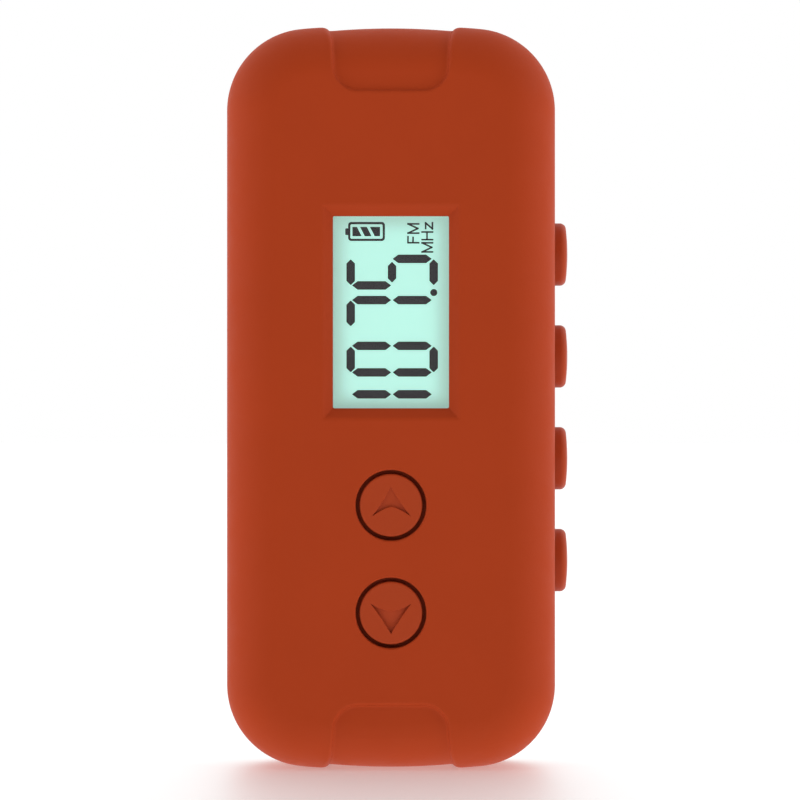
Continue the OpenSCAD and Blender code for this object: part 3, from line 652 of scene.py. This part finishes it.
# the second colour is the painted shade at the display's edges
LCD_MID, LCD_EDGE_SHADE, LCD_GLOW = (0.445, 0.765, 0.675), (0.37, 0.575, 0.505), 0.76
M["board"] = board_material()
M["cell_sleeve"] = sleeve_material()
M["zebra"] = zebra_material()
M["lcd"] = lcd_material()
M["lens"] = lens_material()
M["lcd_ink"] = plastic("lcd_ink", (0.038, 0.028, 0.036), rough=0.6, depth=0.0)

slots = {s["node"]: s["material_slot"] for s in frame["record"]["subparts"]}
for n, o in frame["nodes"].items():
    for i in range(max(1, len(o.material_slots))):
        if not o.material_slots:
            o.data.materials.append(M[slots[n]])
        else:
            o.material_slots[i].material = M[slots[n]]

# ---------------------------------------------------------------- pieces
FINE = 1.0


def up_floor(x, y):
    return 0.12 + 0.30 * np.clip((2.0 - y) / 3.3, 0, 1)


def down_floor(x, y):
    return 0.40 - 0.34 * np.maximum(0, 1 - np.hypot(x / 1.9, (y - 1.5) / 2.6))


build("front_shell", front_shell, (-19.4, -0.4, -6), (19.4, 86.2, 11.4), 0.2 * FINE, "case", ["front_case"], M["case_front"], 0.28)
build("rear_shell", rear_shell, (-19.4, -0.4, -11.4), (19.4, 86.2, 2.6), 0.2 * FINE, "case", ["rear_case"], M["case_rear"], 0.29)
build("lower_cap", end_cap, (-9.4, -0.4, -11.4), (9.4, 11, 11.4), 0.13 * FINE, "case", ["bottom_end_cap"], M["end_caps"], 0.6)
build("upper_cap", top_cap, (-9.4, 74.8, -11.4), (9.4, 86.2, 11.4), 0.13 * FINE, "case", ["top_end_cap"], M["end_caps"], 0.6)
build("door_panel", door, (-12.1, 7.3, -11.4), (12.1, 59.4, -8), 0.15 * FINE, "door", ["battery_door"], M["door"], 0.5)
build("key_up_cap", front_key(UP_ARROW, up_floor), (-4.9, -4.9, 7.1), (4.9, 4.9, 11.2), 0.07 * FINE, "key_up", ["up_key"], M["keys"], 0.7, (0, UP_Y, 0))
build("key_down_cap", front_key(DOWN_ARROW, down_floor), (-4.9, -4.9, 7.1), (4.9, 4.9, 11.2), 0.07 * FINE, "key_down", ["down_key"], M["keys"], 0.7, (0, DOWN_Y, 0))
for i, ky in enumerate(SIDE_YS, 1):
    build(f"key_side_{i}_cap", side_key, (15.8, -4.8, -4.8), (21, 4.8, 4.8), 0.12 * FINE, f"key_side_{i}", [f"side_key_{i}"], M["keys"], 0.8, (0, ky, 0))


def prism(name, loops, z0, z1, ride, material, bevel=0.0, replaces=()):
    """Flat outlines in the working frame, about the display centre, each made into a thin closed plate."""
    verts, faces = [], []
    for pts in loops:
        area = sum(a[0] * b[1] - b[0] * a[1] for a, b in zip(pts, pts[1:] + pts[:1]))
        pts = pts if area > 0 else pts[::-1]
        k, n = len(verts), len(pts)
        verts += [(x, y + LCD_Y, z0) for x, y in pts] + [(x, y + LCD_Y, z1) for x, y in pts]
        faces += [list(range(k + n - 1, k - 1, -1)), list(range(k + n, k + 2 * n))]
        faces += [[k + i, k + (i + 1) % n, k + n + (i + 1) % n, k + n + i] for i in range(n)]
    me = bpy.data.meshes.new(name)
    me.from_pydata([tuple(v) for v in to_world(verts)], [], faces)
    me.materials.append(material)
    ob = bpy.data.objects.new(name, me)
    bpy.context.scene.collection.objects.link(ob)
    if bevel:
        b = ob.modifiers.new("edges", "BEVEL")
        b.width = bevel * 1e-3
        b.segments = 2
    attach(ob, ride)
    if replaces:
        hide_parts(*replaces)
    return ob


def seg(cx, cy, length, along, tip=0.62, w=0.98):
    """A display segment: a bar with pointed ends."""
    a, h = length / 2, w / 2
    p = [(-a, -0.03), (-a + tip, -h), (a - tip, -h), (a, -0.03), (a, 0.03), (a - tip, h), (-a + tip, h), (-a, 0.03)]
    if along == "y":
        p = [(-y, x) for x, y in p]
    return [(cx + x, cy + y) for x, y in p]


def stroke(a, b, w=0.19):
    dx, dy = b[0] - a[0], b[1] - a[1]
    k = w / 2 / math.hypot(dx, dy)
    nx, ny = -dy * k, dx * k
    ex, ey = dx * k * 0.9, dy * k * 0.9
    return [(a[0] - ex + nx, a[1] - ey + ny), (a[0] - ex - nx, a[1] - ey - ny), (b[0] + ex - nx, b[1] + ey - ny), (b[0] + ex + nx, b[1] + ey + ny)]


def rounded(x0, y0, x1, y1, r, n=5):
    out = []
    for cx, cy, a0 in ((x1 - r, y1 - r, 0), (x0 + r, y1 - r, 90), (x0 + r, y0 + r, 180), (x1 - r, y0 + r, 270)):
        for i in range(n + 1):
            a = math.radians(a0 + 90 * i / n)
            out.append((cx + r * math.cos(a), cy + r * math.sin(a)))
    return out


XL, XR = -2.235, 2.445          # the two rows of long segments, left (upper when read) and right
LONG, SHORT = 4.45, 2.93
TOP, BASE = -4.64, 4.92          # short segments at the digits' top and base
art = []
for y in (-9.42, -6.90, -3.84, 1.43):
    art += [seg(XL, y, LONG, "x"), seg(XR, y, LONG, "x")]
art += [seg(XL, 3.12, LONG, "x"), seg(XR, 6.18, LONG, "x")]
art += [seg(TOP, -5.41, SHORT, "y", 0.46), seg(BASE, -5.41, SHORT, "y", 0.46), seg(TOP, -0.10, SHORT, "y", 0.46)]
art += [seg(TOP, 4.64, SHORT, "y", 0.46), seg(BASE, 4.64, SHORT, "y", 0.46), seg(0.12, 4.64, 2.35, "y", 0.46)]
art += [[(4.93 + 0.41 * math.cos(math.radians(a)), 2.30 + 0.41 * math.sin(math.radians(a))) for a in range(0, 360, 12)]]
# battery symbol: rim in four sides with round corners, nub, three slanted bars
ring_out, ring_in = rounded(-4.94, 8.24, -0.70, 10.43, 0.36), rounded(-4.68, 8.50, -0.96, 10.17, 0.16)
for i in range(len(ring_out)):
    j = (i + 1) % len(ring_out)
    art.append([ring_out[i], ring_out[j], ring_in[j], ring_in[i]])
art += [rounded(-5.27, 8.92, -4.90, 9.70, 0.12, 3)]
art += [[(-4.44, 8.79), (-3.38, 8.79), (-3.92, 9.86), (-4.44, 9.86)], [(-3.02, 8.79), (-2.24, 8.79), (-2.78, 9.86), (-3.55, 9.86)], [(-1.87, 8.79), (-1.26, 8.79), (-1.26, 9.86), (-2.42, 9.86)]]


def letter_lines(kind):
    """Strokes of a letter: u along the reading direction, v up the letter, on a unit cap height."""
    return {
        "F": ([((0, 0), (0, 1)), ((0, 1), (0.56, 1)), ((0, 0.53), (0.5, 0.53))], 0.56),
        "M": ([((0, 0), (0, 1)), ((0, 1), (0.43, 0.08)), ((0.43, 0.08), (0.86, 1)), ((0.86, 1), (0.86, 0))], 0.86),
        "H": ([((0, 0), (0, 1)), ((0.72, 0), (0.72, 1)), ((0, 0.53), (0.72, 0.53))], 0.72),
        "z": ([((0.02, 0.66), (0.56, 0.66)), ((0.56, 0.66), (0, 0.02)), ((0, 0.02), (0.58, 0.02))], 0.58),
    }[kind]


def legend(word, x_base, y_start, size, gap=0.26):
    y = y_start
    for ch in word:
        lines, wide = letter_lines(ch)
        for a, b in lines:
            art.append(stroke((x_base - a[1] * size, y + a[0] * size), (x_base - b[1] * size, y + b[0] * size)))
        y += (wide + gap) * size


legend("FM", 3.2, 8.04, 1.24, 0.33)
legend("MHz", 4.8, 6.98, 1.22, 0.3)
prism("display_marks", art, 8.205, 8.245, "case", M["lcd_ink"], replaces=["lcd_segments"])
prism("display_window", [rounded(-8.65, -13.1, 8.65, 13.1, 0.6)], 8.52, 9.57, "case", M["lens"], 0.12, ["display_lens"])


# ---------------------------------------------------------------- studio
SKY = {"side": 3.3, "back": 3.0, "up": 0.75, "front": 0.0}          # light on matt surfaces
GLOSS = {"side": 1.2, "back": 1.3, "up": 1.2, "front": 0.8}         # what glossy surfaces mirror
FLOOR_GLOW, FLOOR_WHITE, FLOOR_MIRROR, FLOOR_ROUGH = 1.15, 0.1, 0.78, 0.48


def calc(t, op, a, b=None, c=None):
    n = t.nodes.new("ShaderNodeMath")
    n.operation = op
    for i, v in enumerate((a, b, c)):
        if isinstance(v, (int, float)):
            n.inputs[i].default_value = v
        elif v is not None:
            t.links.new(v, n.inputs[i])
    return n.outputs[0]


def floor_material():
    """Plain white acrylic that glows evenly and mirrors softly at a low angle."""
    m = bpy.data.materials.new("white_acrylic")
    m.use_nodes = True
    t = m.node_tree
    t.nodes.clear()
    out = t.nodes.new("ShaderNodeOutputMaterial")
    p = t.nodes.new("ShaderNodeBsdfDiffuse")
    p.inputs["Color"].default_value = (FLOOR_WHITE, FLOOR_WHITE, FLOOR_WHITE, 1)
    e = t.nodes.new("ShaderNodeEmission")
    e.inputs["Strength"].default_value = FLOOR_GLOW
    add = t.nodes.new("ShaderNodeAddShader")
    t.links.new(p.outputs[0], add.inputs[0])
    t.links.new(e.outputs[0], add.inputs[1])
    g = t.nodes.new("ShaderNodeBsdfGlossy")
    g.inputs["Roughness"].default_value = FLOOR_ROUGH
    g.inputs["Color"].default_value = (1, 1, 1, 1)
    fr = t.nodes.new("ShaderNodeFresnel")
    fr.inputs["IOR"].default_value = 1.5
    mx = t.nodes.new("ShaderNodeMixShader")
    t.links.new(remap(t, fr.outputs[0], 0.04, 0.62, 0.03, FLOOR_MIRROR), mx.inputs[0])
    t.links.new(add.outputs[0], mx.inputs[1])
    t.links.new(g.outputs[0], mx.inputs[2])
    t.links.new(mx.outputs[0], out.inputs[0])
    return m


me = bpy.data.meshes.new("floor")
me.from_pydata([(-4, -4, 0), (4, -4, 0), (4, 4, 0), (-4, 4, 0)], [], [(0, 1, 2, 3)])
me.materials.append(floor_material())
floor = bpy.data.objects.new("floor", me)
bpy.context.scene.collection.objects.link(floor)

scene = bpy.context.scene
world = bpy.data.worlds.new("soft_tent")
scene.world = world
world.use_nodes = True
wt = world.node_tree
wt.nodes.clear()
wco = wt.nodes.new("ShaderNodeTexCoord")
wsep = wt.nodes.new("ShaderNodeSeparateXYZ")
wt.links.new(wco.outputs["Generated"], wsep.inputs[0])
wx, wy, wz = wsep.outputs[0], wsep.outputs[1], wsep.outputs[2]


def tent(level, back_power, boxes):
    """Brightness by direction: a soft source at each side, behind and overhead, dark where the camera stands."""
    if boxes:
        common = calc(wt, "ADD", calc(wt, "MULTIPLY", wy, -0.168), calc(wt, "MULTIPLY", wz, 0.242))
        right = calc(wt, "POWER", calc(wt, "MAXIMUM", calc(wt, "ADD", calc(wt, "MULTIPLY", wx, 0.955), common), 0.0), 8.0)
        left = calc(wt, "POWER", calc(wt, "MAXIMUM", calc(wt, "ADD", calc(wt, "MULTIPLY", wx, -0.955), common), 0.0), 8.0)
        side = calc(wt, "ADD", calc(wt, "MULTIPLY", right, level["side"] * 1.12), calc(wt, "MULTIPLY", left, level["side"]))
    else:
        side = calc(wt, "MULTIPLY", calc(wt, "MULTIPLY", wx, wx), level["side"])
    back = calc(wt, "MULTIPLY", calc(wt, "POWER", calc(wt, "MAXIMUM", wy, 0.0), back_power), level["back"])
    front = calc(wt, "MULTIPLY", calc(wt, "POWER", calc(wt, "MAXIMUM", calc(wt, "MULTIPLY", wy, -1.0), 0.0), 2.0), level["front"])
    up = calc(wt, "MULTIPLY", calc(wt, "MULTIPLY", wz, wz), level["up"])
    return calc(wt, "ADD", calc(wt, "ADD", side, back), calc(wt, "ADD", front, up))


path = wt.nodes.new("ShaderNodeLightPath")
matt, shiny = tent(SKY, 1.0, True), tent(GLOSS, 2.0, False)
level = calc(wt, "ADD", calc(wt, "MULTIPLY", matt, calc(wt, "SUBTRACT", 1.0, path.outputs["Is Glossy Ray"])), calc(wt, "MULTIPLY", shiny, path.outputs["Is Glossy Ray"]))
light = wt.nodes.new("ShaderNodeBackground")
wt.links.new(level, light.inputs["Strength"])
seen = wt.nodes.new("ShaderNodeBackground")
seen.inputs["Strength"].default_value = 1.0
seen.inputs["Color"].default_value = (1, 1, 1, 1)
pick = wt.nodes.new("ShaderNodeMixShader")
wt.links.new(path.outputs["Is Camera Ray"], pick.inputs[0])
wt.links.new(light.outputs[0], pick.inputs[1])
wt.links.new(seen.outputs[0], pick.inputs[2])
wout = wt.nodes.new("ShaderNodeOutputWorld")
wt.links.new(pick.outputs[0], wout.inputs[0])

cam = bpy.data.objects.new("camera", bpy.data.cameras.new("camera"))
scene.collection.objects.link(cam)
cam.data.lens = 211.6
cam.data.sensor_width = 36.0
cam.data.clip_start = 0.01
cam.data.clip_end = 20.0
cam.location = (0.00024, -0.550, 0.04262)
cam.rotation_euler = (math.radians(90), 0, 0)
scene.camera = cam
scene.view_settings.view_transform = "Standard"
scene.view_settings.look = "None"
